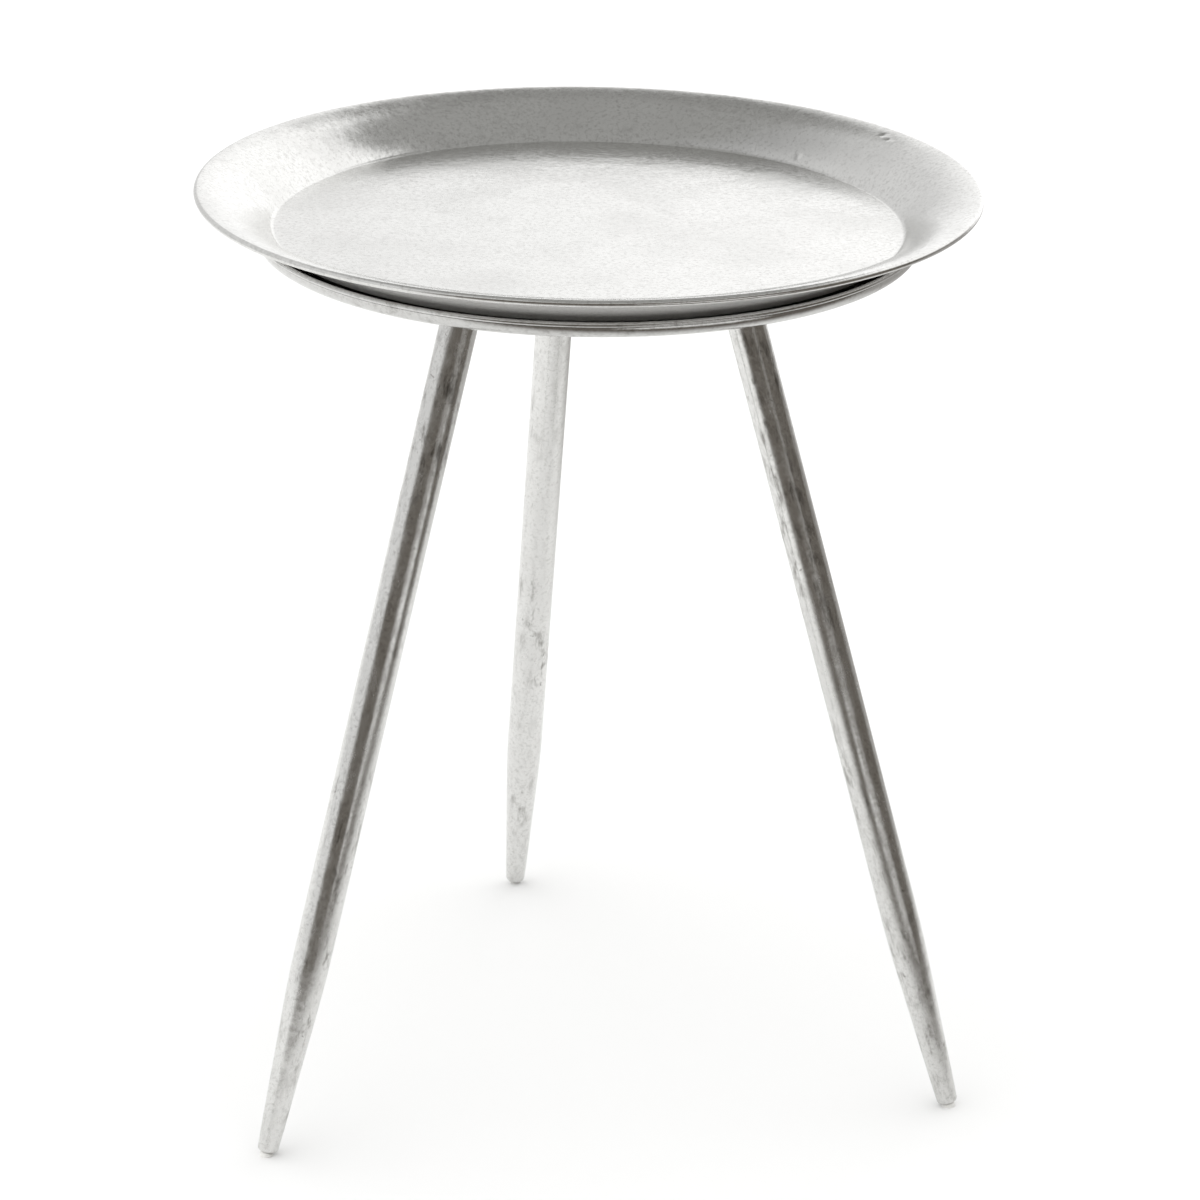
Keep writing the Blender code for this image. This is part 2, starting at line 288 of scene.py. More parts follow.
def cut_off(bm, point, normal):
    """Takes away what lies past a plane and closes the cut."""
    geom = list(bm.verts) + list(bm.edges) + list(bm.faces)
    bmesh.ops.bisect_plane(bm, geom=geom, plane_co=point, plane_no=normal, clear_outer=True)
    bmesh.ops.holes_fill(bm, edges=[edge for edge in bm.edges if edge.is_boundary])


def refine(bm, spot, reach):
    """Smaller faces round a point in plan, enough to carry a small knock."""
    edges = {}
    for face in bm.faces:
        if (face.calc_center_median().xy - spot).length < reach:
            edges.update(dict.fromkeys(face.edges))
    bmesh.ops.subdivide_edges(bm, edges=list(edges), cuts=3, use_grid_fill=True)


def press(bm, spot, radius, depth):
    """A round knock, pressed down at a point in plan."""
    for vert in bm.verts:
        distance = (vert.co.xy - spot).length / radius
        if distance < 1:
            vert.co.z -= depth * (1 - distance * distance) ** 2


def add(name, mesh, mats=(), matrix=None):
    """A new object in the scene."""
    obj = bpy.data.objects.new(name, mesh)
    bpy.context.scene.collection.objects.link(obj)
    if matrix is not None:
        obj.matrix_world = matrix
    if not mesh.materials:
        for mat in mats:
            mesh.materials.append(mat)
    return obj


def combined(base, steps, name, sharp=30):
    """The mesh left after joining or cutting a bmesh with others in turn."""
    body = add(f"{name}_base", finished(base, name))
    tools = []
    for operation, tool in steps:
        cutter = add(f"{name}_tool_{len(tools)}", finished(tool, name))
        modifier = body.modifiers.new(operation, "BOOLEAN")
        modifier.operation = operation
        modifier.solver = "EXACT"
        modifier.object = cutter
        tools.append(cutter)
    mesh = evaluated(body)
    for gone in (body, *tools):
        bpy.data.objects.remove(gone, do_unlink=True)
    mesh.shade_smooth()
    mesh.set_sharp_from_angle(angle=math.radians(sharp))
    return mesh


def evaluated(obj):
    """An object's mesh with its modifiers applied, without materials."""
    graph = bpy.context.evaluated_depsgraph_get()
    mesh = bpy.data.meshes.new_from_object(obj.evaluated_get(graph))
    mesh.materials.clear()
    return mesh


def piece(name, mesh, mats, body, nodes, matrix=None):
    """Adds a piece, lets it ride on its body and hides the CAD nodes that it stands for."""
    obj = add(name, mesh, mats if isinstance(mats, list) else [mats], matrix)
    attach(obj, body)
    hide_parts(*nodes)
    return obj


# ---------------------------------------------------------------- materials


class Shader:
    """The node tree of a material or the world, with short calls for adding nodes and linking them."""

    def __init__(self, owner):
        owner.use_nodes = True
        self.owner = owner
        self.tree = owner.node_tree

    def add(self, kind, inputs=None, **settings):
        node = self.tree.nodes.new(kind)
        for key, value in settings.items():
            setattr(node, key, value)
        for key, value in (inputs or {}).items():
            self.feed(node.inputs[key], value)
        return node

    def feed(self, socket, value):
        if isinstance(value, bpy.types.NodeSocket):
            self.tree.links.new(value, socket)
        elif isinstance(value, tuple) and len(value) == 3 and socket.type == "RGBA":
            socket.default_value = (*value, 1)
        else:
            socket.default_value = value

    def coordinates(self, scale=(1, 1, 1), seed=0.0, axes=None):
        """Object coordinates in metres, in a piece's own axes, stretched and moved by a seed."""
        place = self.add("ShaderNodeTexCoord").outputs["Object"]
        if axes is not None:
            place = self.turned(place, axes.inverted().to_euler())
        shift = (seed * 3.1, seed * 1.7, seed * 2.3)
        values = {"Vector": place, "Scale": scale, "Location": shift}
        return self.add("ShaderNodeMapping", values).outputs[0]

    def turned(self, vector, rotation):
        return self.add("ShaderNodeMapping", {"Vector": vector, "Rotation": rotation}).outputs[0]

    def noise(self, vector, scale, detail=3.0, roughness=0.55, distortion=0.0):
        values = {"Vector": vector, "Scale": scale, "Detail": detail}
        values |= {"Roughness": roughness, "Distortion": distortion}
        return self.add("ShaderNodeTexNoise", values).outputs["Fac"]

    def ranged(self, value, low, high, to_low=0.0, to_high=1.0, smooth=True):
        values = {"Value": value, "From Min": low, "From Max": high, "To Min": to_low, "To Max": to_high}
        kind = "SMOOTHSTEP" if smooth else "LINEAR"
        return self.add("ShaderNodeMapRange", values, interpolation_type=kind).outputs[0]

    def math(self, operation, first, second=0.0):
        return self.add("ShaderNodeMath", {0: first, 1: second}, operation=operation).outputs[0]

    def mix(self, factor, first, second):
        node = self.add("ShaderNodeMix", data_type="RGBA")
        self.feed(node.inputs[0], factor)
        self.feed(node.inputs[6], first)
        self.feed(node.inputs[7], second)
        return node.outputs[2]

    def bump(self, height, distance, normal=None):
        values = {"Height": height, "Distance": distance, "Strength": 1.0}
        if normal:
            values["Normal"] = normal
        return self.add("ShaderNodeBump", values).outputs[0]

    def surface(self, **values):
        """Feeds the material's surface and returns the material."""
        names = {
            "colour": "Base Color",
            "roughness": "Roughness",
            "metallic": "Metallic",
            "specular": "Specular IOR Level",
            "normal": "Normal",
        }
        for key, value in values.items():
            self.feed(self.tree.nodes["Principled BSDF"].inputs[names[key]], value)
        return self.owner


def shader(name):
    return Shader(bpy.data.materials.new(name))


def antiqued_silver(name, seed, tone, wear, roughness, axes=None, stretch=(1, 1, 1)):
    """Nickel plate rubbed back: pale clouds, grey smears, fine speckle, pits and a lumpy skin."""
    s = shader(name)
    plain = s.coordinates(seed=seed, axes=axes)
    drawn = s.coordinates(scale=stretch, seed=seed + 1, axes=axes)
    clouds = s.noise(plain, 20, 3, 0.5, 0.4)
    smears = s.noise(drawn, 210, 5, 0.7, 0.2)
    patches = s.noise(drawn, 30, 3, 0.6, 0.5)
    speckle = s.noise(plain, 520, 3, 0.7)
    grain = s.noise(drawn, 330, 4, 0.65)
    pit_field = s.noise(plain, 340, 2, 0.5)

    haze = s.ranged(clouds, 0.40, 0.66, 0, 0.10)
    where = s.ranged(patches, 0.42, 0.62, 0.2, 1.0)
    smear = s.math("MULTIPLY", s.ranged(smears, 0.46, 0.72, 0, 0.75 * wear), where)
    dots = s.ranged(speckle, 0.44, 0.72, 0, 0.34)
    pits = s.math("MULTIPLY", s.ranged(pit_field, 0.66, 0.76, 0, 0.6 * wear), where)
    tarnish = s.math("MAXIMUM", s.math("MAXIMUM", haze, smear), s.math("MAXIMUM", dots, pits))
    colour = s.mix(tarnish, (tone, tone * 0.997, tone * 0.977), (0.22, 0.21, 0.195))

    dull = s.math("ADD", s.math("MULTIPLY", clouds, 0.35), s.math("MULTIPLY", grain, 0.65))
    rough = s.ranged(dull, 0.36, 0.66, *roughness)
    ripple = s.bump(clouds, 0.00030)
    lumps = s.bump(s.noise(plain, 90, 2, 0.5), 0.00010 + 0.00006 * wear, ripple)
    peel = s.bump(grain, 0.000045, lumps)
    fine = s.bump(s.math("SUBTRACT", speckle, pits), 0.000014, peel)
    return s.surface(colour=colour, roughness=rough, metallic=1.0, normal=fine)


def dull_underside(name, seed):
    """The tray's underside, which isn't polished: a thin, matt grey plating with soft stains."""
    s = shader(name)
    plain = s.coordinates(seed=seed)
    clouds = s.noise(plain, 30, 4, 0.6, 0.5)
    grain = s.noise(plain, 700, 4, 0.7)
    stain = s.math("ADD", s.ranged(clouds, 0.38, 0.66, 0, 0.18), s.ranged(grain, 0.45, 0.70, 0, 0.3))
    colour = s.mix(stain, (0.68, 0.675, 0.66), (0.44, 0.43, 0.41))
    rough = s.ranged(clouds, 0.35, 0.65, 0.46, 0.58)
    normal = s.bump(grain, 0.00003, s.bump(clouds, 0.0002))
    return s.surface(colour=colour, roughness=rough, metallic=0.35, specular=0.5, normal=normal)


def zinc_plate(name, seed):
    """Bright zinc: cool grey with a faint crystalline spangle and rub marks."""
    s = shader(name)
    place = s.coordinates(seed=seed)
    cells = s.add("ShaderNodeTexVoronoi", {"Vector": place, "Scale": 260.0}).outputs["Color"]
    spangle = s.add("ShaderNodeSeparateColor", {"Color": cells}).outputs[0]
    clouds = s.noise(place, 40, 4, 0.6)
    grain = s.noise(place, 1400, 2, 0.6)
    tone = s.math("ADD", s.math("MULTIPLY", spangle, 0.25), s.ranged(clouds, 0.35, 0.7, 0, 0.6))
    colour = s.mix(tone, (0.70, 0.71, 0.725), (0.48, 0.49, 0.50))
    rough = s.ranged(clouds, 0.3, 0.7, 0.28, 0.46)
    return s.surface(colour=colour, roughness=rough, metallic=1.0, normal=s.bump(grain, 0.00001))


def cast_silver(name, seed):
    """A sand casting under silver paint: pebbled skin, darker in its hollows."""
    s = shader(name)
    place = s.coordinates(seed=seed)
    pebble = s.noise(place, 700, 4, 0.65)
    lumps = s.noise(place, 160, 3, 0.5)
    relief = s.math("ADD", s.math("MULTIPLY", pebble, 0.6), s.math("MULTIPLY", lumps, 0.4))
    tone = s.ranged(relief, 0.35, 0.65)
    colour = s.mix(tone, (0.36, 0.36, 0.355), (0.66, 0.66, 0.65))
    rough = s.ranged(pebble, 0.3, 0.7, 0.60, 0.40)
    normal = s.bump(pebble, 0.00012, s.bump(lumps, 0.0003))
    return s.surface(colour=colour, roughness=rough, metallic=0.85, normal=normal)


def rubber(name):
    """Black moulded rubber with a little dust."""
    s = shader(name)
    place = s.coordinates()
    grain = s.noise(place, 1600, 3, 0.7)
    dust = s.ranged(s.noise(place, 240, 4, 0.65), 0.48, 0.72)
    colour = s.mix(dust, (0.018, 0.018, 0.019), (0.062, 0.060, 0.057))
    rough = s.ranged(grain, 0.3, 0.7, 0.66, 0.88)
    return s.surface(colour=colour, roughness=rough, specular=0.35, normal=s.bump(grain, 0.00004))


def natural_nylon(name):
    """Milky uncoloured nylon, scuffed where it stands on the floor."""
    s = shader(name)
    place = s.coordinates()
    grain = s.noise(place, 2200, 2, 0.6)
    scuff = s.ranged(s.noise(place, 500, 5, 0.7, 1.2), 0.50, 0.70)
    colour = s.mix(scuff, (0.80, 0.795, 0.77), (0.62, 0.61, 0.58))
    rough = s.ranged(scuff, 0, 1, 0.36, 0.62)
    return s.surface(colour=colour, roughness=rough, specular=0.5, normal=s.bump(grain, 0.00002))


def studio_floor(name):
    """Matt pale board, seen only from above. For mirror rays its front and one side are painted dark, a
    painted reflection of a dark room and painted shade near the table. A painted bright strip crosses
    that dark part.
    """
    s = shader(name)
    place = s.coordinates()
    tone = s.ranged(s.noise(place, 1.3, 3, 0.5), 0.3, 0.7)
    pale = s.mix(tone, (0.865, 0.865, 0.862), (0.875, 0.875, 0.873))
    forward = s.turned(place, (0, 0, -CAMERA_AZIMUTH - DARK_WAY))
    parts = s.add("ShaderNodeSeparateXYZ", {"Vector": forward})
    distance = parts.outputs["Y"]
    aside = parts.outputs["X"]
    # painted shade: mirror rays see the board dark towards the camera's side and to one side, as a
    # painted reflection of a dark room and painted shade near the table
    painted_mirror_shade = s.math("MAXIMUM", s.ranged(distance, -0.06, -0.58), s.ranged(aside, 0.25, 0.95, 0, 0.7))
    # painted highlight: a strip left pale inside the dark part, which the metal mirrors as a strip of
    # light
    across_strip = s.ranged(s.math("ABSOLUTE", aside), 0.46, 0.30)
    strip = s.math("MULTIPLY", across_strip, s.ranged(distance, -0.70, -0.95))
    strip = s.math("MULTIPLY", strip, s.ranged(distance, -1.8, -1.3))
    painted_mirror_shade = s.math("MULTIPLY", painted_mirror_shade, s.math("SUBTRACT", 1.0, strip))
    mirrored = s.add("ShaderNodeLightPath").outputs["Is Glossy Ray"]
    # the painted dark colour that only mirror rays see
    colour = s.mix(s.math("MULTIPLY", painted_mirror_shade, mirrored), pale, (0.125, 0.113, 0.10))
    s.surface(colour=colour, roughness=0.9, specular=0.1)
    board = s.tree.nodes["Principled BSDF"].outputs[0]
    below = s.add("ShaderNodeNewGeometry").outputs["Backfacing"]
    clear = s.add("ShaderNodeBsdfTransparent").outputs[0]
    choice = s.add("ShaderNodeMixShader", {0: below, 1: board, 2: clear}).outputs[0]
    s.feed(s.tree.nodes["Material Output"].inputs["Surface"], choice)
    return s.owner


# ---------------------------------------------------------------- sheet metal


def tray_section():
    """The spun tray: flat floor, one flaring arc up to a nearly level rim, and a rolled edge."""
    low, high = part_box("tray")
    radius = high.x
    floor = low.z + SHEET
    lean = TRAY_RIM_SLOPE
    bead_centre = Vector((radius - TRAY_BEAD, high.z - TRAY_BEAD))
    rim = bead_centre + Vector((-math.sin(lean), math.cos(lean))) * TRAY_BEAD
    foot = Vector((TRAY_FLOOR_RADIUS, floor))
    chord = rim - foot
    steep = 2 * math.atan2(chord.y, chord.x) - lean
    flare_radius = chord.length / 2 / math.sin((steep - lean) / 2)
    flare_centre = rim + Vector((math.sin(lean), -math.cos(lean))) * flare_radius
    flare = arc(flare_centre, flare_radius, 90 + math.degrees(steep), 90 + math.degrees(lean), 34)
    tangent = TRAY_FILLET * math.tan(steep / 2)
    fillet_centre = (TRAY_FLOOR_RADIUS - tangent, floor + TRAY_FILLET)
    fillet = arc(fillet_centre, TRAY_FILLET, -90, -90 + math.degrees(steep), 7)
    rings = [Vector((fillet[0].x * i / 18, floor)) for i in range(18)]
    top = [*rings, *fillet, *flare[2:]]
    curl = arc(bead_centre, TRAY_BEAD, 90, -165, 20)
    underside = offset(top, SHEET)
    underside[0] = Vector((0, low.z))
    while (underside[-1] - bead_centre).length < TRAY_BEAD + CURL_GROOVE:
        underside.pop()
    groove = bead_centre + (underside[-1] - bead_centre).normalized() * (TRAY_BEAD - CURL_GROOVE)
    return [*top, *curl, groove, *reversed(underside)]


def make_tray(metal, underside):
    """The spun tray with its knocks; below, inside the rolled edge, it isn't polished."""
    bm = turned(tray_section(), TRAY_SEGMENTS)
    knock_tray(bm)
    bmesh.ops.recalc_face_normals(bm, faces=bm.faces)
    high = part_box("tray")[1]
    rolled_edge = high.x - 2.1 * TRAY_BEAD
    for face in bm.faces:
        inside_edge = face.calc_center_median().xy.length < rolled_edge
        if face.normal.z < 0 and inside_edge:
            face.material_index = 1
    mesh = finished(bm, "tray_shell", 50)
    piece("tray_shell", mesh, [metal, underside], "tray", ["tray"])


def knock_tray(bm):
    """Knocks in the flare, as thin sheet gets them: round, through both faces, mostly very shallow."""
    for reach, azimuth, radius, depth in KNOCKS:
        spot = plan_point(reach, azimuth)
        refine(bm, spot, radius * 1.3)
        press(bm, spot, radius, depth)
    rng = random.Random(7)
    for _ in range(FAINT_KNOCKS):
        spot = plan_point(rng.uniform(*FAINT_KNOCK_REACH), rng.uniform(0, 360))
        press(bm, spot, rng.uniform(*FAINT_KNOCK_RADIUS), FAINT_KNOCK_DEPTH)


def make_pan(mat):
    """A shallow dish with an upright wall, a rounded corner, a rolled edge and six bolt holes."""
    low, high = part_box("support_pan")
    inside = high.x - PAN_BEAD - SHEET / 2
    floor = low.z + SHEET
    inner_corner = PAN_CORNER - SHEET
    corner_centre = (inside - inner_corner, floor + inner_corner)
    bead_centre = (high.x - PAN_BEAD, high.z - PAN_BEAD)
    section = [
        *[(radius, floor) for radius in PAN_FLOOR_RINGS],
        *arc(corner_centre, inner_corner, -90, 0, 12),
        *arc(bead_centre, PAN_BEAD, 215, -50, 20),
        (inside + SHEET - CURL_GROOVE, bead_centre[1] - PAN_BEAD * 0.9),
        (inside + SHEET, bead_centre[1] - PAN_BEAD * 1.1),
        *arc(corner_centre, PAN_CORNER, 0, -90, 12),
        *[(radius, low.z) for radius in reversed(PAN_FLOOR_RINGS)],
    ]
    mesh = combined(turned(section, PAN_SEGMENTS), bolt_holes(low.z - GAP, floor + GAP), "pan", 50)
    piece("pan_shell", mesh, mat, "stand", ["support_pan"])


def bolt_holes(bottom, top, legs=LEGS):
    """Cuts for the bolts, in plan round the bolts' own axes."""
    spots = [spot for leg in legs for spot in bolt_middles(leg)]
    return [("DIFFERENCE", prism(circle(BOLT_RADIUS + GAP, 32, spot), bottom, top)) for spot in spots]


def make_plate(mat):
    """The round plate under the pan, with a rounded edge and the same six holes."""
    low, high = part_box("reinforcing_plate")
    radius = high.x
    edge = PLATE_EDGE
    section = [
        (0, high.z),
        *arc((radius - edge, high.z - edge), edge, 90, 0, 4),
        *arc((radius - edge, low.z + edge), edge, 0, -90, 4),
        (0, low.z),
    ]
    mesh = combined(turned(section, PLATE_SEGMENTS), bolt_holes(low.z - GAP, high.z + GAP), "plate")
    piece("plate_disc", mesh, mat, "stand", ["reinforcing_plate"])


def make_pads(mat):
    """Rubber buttons with a rounded edge and a moulded ring in the top."""
    for side in ("front", "right", "left"):
        node = f"tray_pad_{side}"
        low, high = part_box(node)
        radius = (high.x - low.x) / 2
        height = high.z - low.z
        section = [
            (0, height - PAD_DISH),
            (radius * 0.42, height - PAD_DISH),
            *arc((radius * 0.55, height - PAD_RING), PAD_RING, 180, 0, 6),
            (radius * 0.66, height - PAD_RING),
            *arc((radius - PAD_EDGE, height - PAD_EDGE), PAD_EDGE, 90, 0, 6),
            *arc((radius - PAD_FOOT_EDGE, PAD_FOOT_EDGE), PAD_FOOT_EDGE, 0, -90, 3),
            (0, 0),
        ]
        section = [(x, min(z, height)) for x, z in section]
        mesh = finished(turned(section, 64), "tray_pad")
        spot = middle(node)
        place = Matrix.Translation((spot.x, spot.y, low.z))
        piece(f"rubber_pad_{side}", mesh, mat, "stand", [node], place)


# ---------------------------------------------------------------- legs


def leg_outline(bottom, top, radius):
    """Outside of the tube from the top down: plain, a soft turn into the taper, a rounded tip."""
    taper_top = bottom + TAPER_LENGTH
    slope = (radius - TIP_RADIUS) / TAPER_LENGTH
    points = [Vector((radius - LEG_TOP_ROUNDING, top)), Vector((radius, top - LEG_TOP_ROUNDING))]
    blend_top = taper_top + TAPER_BLEND
    straight = top - LEG_TOP_ROUNDING - blend_top
    points += [Vector((radius, blend_top + straight * (1 - i / 14))) for i in range(1, 14)]
    for i in range(13):
        t = i / 12
        height = taper_top + TAPER_BLEND * (1 - 2 * t)
        points.append(Vector((radius - slope * TAPER_BLEND * t * t, height)))
    for i in range(1, 10):
        height = taper_top - TAPER_BLEND - (TAPER_LENGTH - TAPER_BLEND - TIP_ROUNDING) * i / 10
        points.append(Vector((radius - slope * (taper_top - height), height)))
    corner = (TIP_RADIUS - TIP_ROUNDING, bottom + TIP_ROUNDING)
    return points + arc(corner, TIP_ROUNDING, 8, -90, 9)


def make_legs(metals, steel, thread_steel, plastic):
    """Three swaged tubes with their threaded studs, glides and the inserts in their tops."""
    for leg, metal in zip(LEGS, metals):
        axes = leg_frame(leg)
        foot = axes.to_translation()
        axis = axes.col[2].to_3d()
        bottom, top, radius = span(f"leg_{leg}", foot, axis)
        bore = radius - LEG_WALL
        section = [
            *leg_outline(bottom, top, radius),
            (TIP_BORE, bottom),
            (TIP_BORE, bottom + TIP_BORE_LENGTH),
            (bore, bottom + TAPER_LENGTH),
            (bore, top),
        ]
        mesh = finished(turned(section, LEG_SEGMENTS, ring=True), "leg_tube", matrix=axes)
        piece(f"leg_tube_{leg}", mesh, metal, "stand", [f"leg_{leg}"])

        node = f"leg_stud_{leg}"
        low, high, reach = span(node, foot, axis)
        mesh = finished(thread(reach, STUD_PITCH, low, high), "threaded_stud", matrix=axes)
        piece(f"threaded_stud_{leg}", mesh, thread_steel, "stand", [node])
        make_glide(leg, axes, bottom, plastic)
        for slot in NODES[f"leg_insert_{leg}"].material_slots:
            slot.material = steel


def make_glide(leg, axes, tube_end, mat):
    """A moulded plug: barbed stem up the bore, round-edged pad cut level with the floor."""
    node = f"foot_glide_{leg}"
    foot = axes.to_translation()
    axis = axes.col[2].to_3d()
    _, high, radius = span(node, foot, axis)
    stem = TIP_BORE - GAP
    shoulder = tube_end - GAP
    section = [(0, high), (stem * 0.7, high), (stem, high - GLIDE_BEVEL)]
    for i in range(1, GLIDE_BARBS + 1):
        barb = high - GLIDE_BEVEL - i * GLIDE_BARB_PITCH
        section += [(stem, barb), (stem * 0.86, barb - 0.0002)]
    section += [
        (stem, shoulder + GLIDE_BEVEL),
        (stem, shoulder),
        *arc((radius - GLIDE_EDGE, shoulder - GLIDE_EDGE), GLIDE_EDGE, 90, 0, 4),
        (radius, -radius),
        (0, -radius),
    ]
    bm = turned(section, 48)
    cut_off(bm, (0, 0, 0), axes.to_3x3().inverted() @ -UP)
    mesh = finished(bm, "glide", matrix=axes)
    piece(f"glide_{leg}", mesh, mat, "stand", [node])


# ---------------------------------------------------------------- brackets and bolts


def cast_bracket(leg, axes, out):
    """A flange and a boss cast in one, with soft edges, then drilled."""
    foot = axes.to_translation()
    axis = axes.col[2].to_3d()
    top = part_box("reinforcing_plate")[0].z - GAP
    face = span(f"leg_{leg}", foot, axis)[1] + GAP

    bolts = bolt_middles(leg)
    centre = (bolts[0] + bolts[1]) / 2
    tangent = UP.cross(out)
    outline = []
    for x, y in circle(FLANGE_END_RADIUS, 48):
        spread = FLANGE_HALF_STRAIGHT if y >= 0 else -FLANGE_HALF_STRAIGHT
        spot = centre + out * x + tangent * (y + spread)
        outline.append((spot.x, spot.y))
    flange = prism(outline, top - FLANGE_THICKNESS, top)

    boss = rod(BOSS_RADIUS, face, face + BOSS_LENGTH, 64, axes)
    cut_off(boss, (0, 0, top - FLANGE_THICKNESS / 2), UP)
    casting = softened(combined(flange, [("UNION", boss)], "casting"))

    reach = span(f"leg_stud_{leg}", foot, axis)[2] + GAP
    bore = rod(reach, face - GAP, face + BOSS_BORE, 40, axes)
    holes = bolt_holes(top - FLANGE_THICKNESS - 0.001, top + 0.001, [leg])
    base = bmesh.new()
    base.from_mesh(casting)
    return combined(base, [("DIFFERENCE", bore), *holes], "bracket_casting", 50)


def rod(radius, bottom, top, segments, axes):
    """A plain round solid between two heights on a leg's axis, as a tool for joining or drilling."""
    bm = turned([(0, bottom), (radius, bottom), (radius, top), (0, top)], segments)
    bmesh.ops.transform(bm, matrix=axes, verts=bm.verts)
    return bm


def softened(mesh):
    """The mesh with the rounded edges and corners that a sand casting has."""
    body = add("casting_blank", mesh)
    voxels = body.modifiers.new("voxels", "REMESH")
    voxels.mode = "VOXEL"
    voxels.voxel_size = CAST_VOXEL
    soften = body.modifiers.new("soften", "SMOOTH")
    soften.factor = 0.5
    soften.iterations = CAST_SOFTENING
    soft = evaluated(body)
    bpy.data.objects.remove(body, do_unlink=True)
    return soft


def button_bolt(low, high):
    """A button-head screw with a hexagon socket and a full thread; its origin is under the head."""
    head = []
    for degrees in range(65, -1, -5):
        angle = math.radians(degrees)
        height = high * (0.2 + 0.8 * math.sin(angle) / 0.906)
        head.append((BOLT_HEAD_RADIUS * math.cos(angle), height))
    under_edge = [(BOLT_HEAD_RADIUS, BOLT_HEAD_EDGE), (BOLT_HEAD_RADIUS - BOLT_HEAD_EDGE, 0)]
    section = [(0, head[0][1]), *head, *under_edge, (0, 0)]
    key = prism(circle(HEX_KEY_FLATS / math.sqrt(3), 6), high - HEX_KEY_DEPTH, high + 0.001)
    shank = thread(BOLT_RADIUS, BOLT_PITCH, low, BOLT_PITCH / 2, 30)
    return combined(turned(section, 56), [("DIFFERENCE", key), ("UNION", shank)], "button_bolt", 40)


def hex_nut(height):
    """A hexagon with its corners turned down and a countersunk bore."""
    corner = NUT_FLATS / math.sqrt(3)
    drop = (corner - NUT_FLATS / 2) * math.tan(NUT_CHAMFER) + 0.0002
    flat = NUT_FLATS / 2 * 0.97
    reach = flat + drop / math.tan(NUT_CHAMFER)
    envelope = [(0, height), (flat, height), (reach, height - drop), (reach, drop), (flat, 0), (0, 0)]
    bore = BOLT_RADIUS + GAP
    mouth = bore + 2 * NUT_SINK
    cutter = [
        (0, height + NUT_SINK),
        (mouth, height + NUT_SINK),
        (bore, height - NUT_SINK),
        (bore, NUT_SINK),
        (mouth, -NUT_SINK),
        (0, -NUT_SINK),
    ]
    steps = [("INTERSECT", turned(envelope, 72)), ("DIFFERENCE", turned(cutter, 40))]
    return combined(prism(circle(corner, 6), 0, height), steps, "hex_nut")


def make_brackets(casting, steel):
    """Three brackets, each with two bolts from the pan down and a nut on each bolt."""
    sample_low, sample_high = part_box("bracket_bolt_back_a")
    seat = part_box("support_pan")[0].z + SHEET + GAP
    bolt = button_bolt(sample_low.z - seat, sample_high.z - seat)
    nut_low, nut_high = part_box("bracket_nut_back_a")
    nut = hex_nut(nut_high.z - nut_low.z)
    rng = random.Random(3)
    for leg in LEGS:
        out = mount(f"foot_{leg}").normalized()
        mesh = cast_bracket(leg, leg_frame(leg), out)
        piece(f"cast_bracket_{leg}", mesh, casting, "stand", [f"leg_bracket_{leg}"])
        for mark in BOLT_MARKS:
            node = f"bracket_bolt_{leg}_{mark}"
            place = upright(middle(node), seat, rng.uniform(0, math.tau))
            piece(f"button_bolt_{leg}_{mark}", bolt, steel, "stand", [node], place)
            node = f"bracket_nut_{leg}_{mark}"
            place = upright(middle(node), nut_low.z, math.atan2(out.y, out.x))
            piece(f"hex_nut_{leg}_{mark}", nut, steel, "stand", [node], place)


def upright(spot, height, turn):
    """The place of an upright piece above or below a spot, turned round its own axis."""
    return Matrix.Translation((spot.x, spot.y, height)) @ Matrix.Rotation(turn, 4, "Z")


# ---------------------------------------------------------------- studio


def make_camera():
    """The view from the front left, a little above the tray."""
    target = Vector((0, 0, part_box("tray")[1].z / 2))
    level = math.cos(CAMERA_ELEVATION)
    toward = Vector((
        math.sin(CAMERA_AZIMUTH) * level,
        -math.cos(CAMERA_AZIMUTH) * level,
        math.sin(CAMERA_ELEVATION),
    ))
    data = bpy.data.cameras.new("camera")
    data.sensor_width = 36.0
    data.lens = CAMERA_LENS
    data.shift_x, data.shift_y = CAMERA_SHIFT
    data.clip_end = 200
    camera = bpy.data.objects.new("camera", data)
    bpy.context.scene.collection.objects.link(camera)
    right = UP.cross(toward).normalized()
    up = toward.cross(right)
    level_axes = Matrix((right, up, toward)).transposed().to_4x4()
    roll = Matrix.Rotation(CAMERA_ROLL, 4, "Z")
    camera.matrix_world = Matrix.Translation(target + toward * CAMERA_DISTANCE) @ level_axes @ roll
    bpy.context.scene.camera = camera


def make_floor(mat):
    """A near floor that lights and mirrors in the metal, and its far part for the camera only."""
    disc = bmesh.new()
    bmesh.ops.create_circle(disc, cap_ends=True, radius=NEAR_FLOOR_RADIUS, segments=FLOOR_SEGMENTS)
    near = add("studio_floor", finished(disc, "studio_floor"), [mat])
    ring = bmesh.new()
    inner, outer = (
        [ring.verts.new((x, y, 0)) for x, y in circle(radius, FLOOR_SEGMENTS)]
        for radius in (NEAR_FLOOR_RADIUS, FAR_FLOOR_RADIUS)
    )
    for i in range(FLOOR_SEGMENTS):
        after = (i + 1) % FLOOR_SEGMENTS
        ring.faces.new((inner[i], outer[i], outer[after], inner[after]))
    far = add("studio_floor_far", finished(ring, "studio_floor_far"), [mat])
    far.visible_glossy = False
    far.visible_diffuse = False


def make_light():
    """A very broad soft light that only matt surfaces answer to, so the floor stays pale."""
    data = bpy.data.lights.new("overhead", "SUN")
    data.energy = 2.25
    data.angle = math.radians(120)
    light = bpy.data.objects.new("overhead", data)
    light.rotation_euler = (math.radians(8), math.radians(-14), 0)
    light.visible_glossy = False
    bpy.context.scene.collection.objects.link(light)


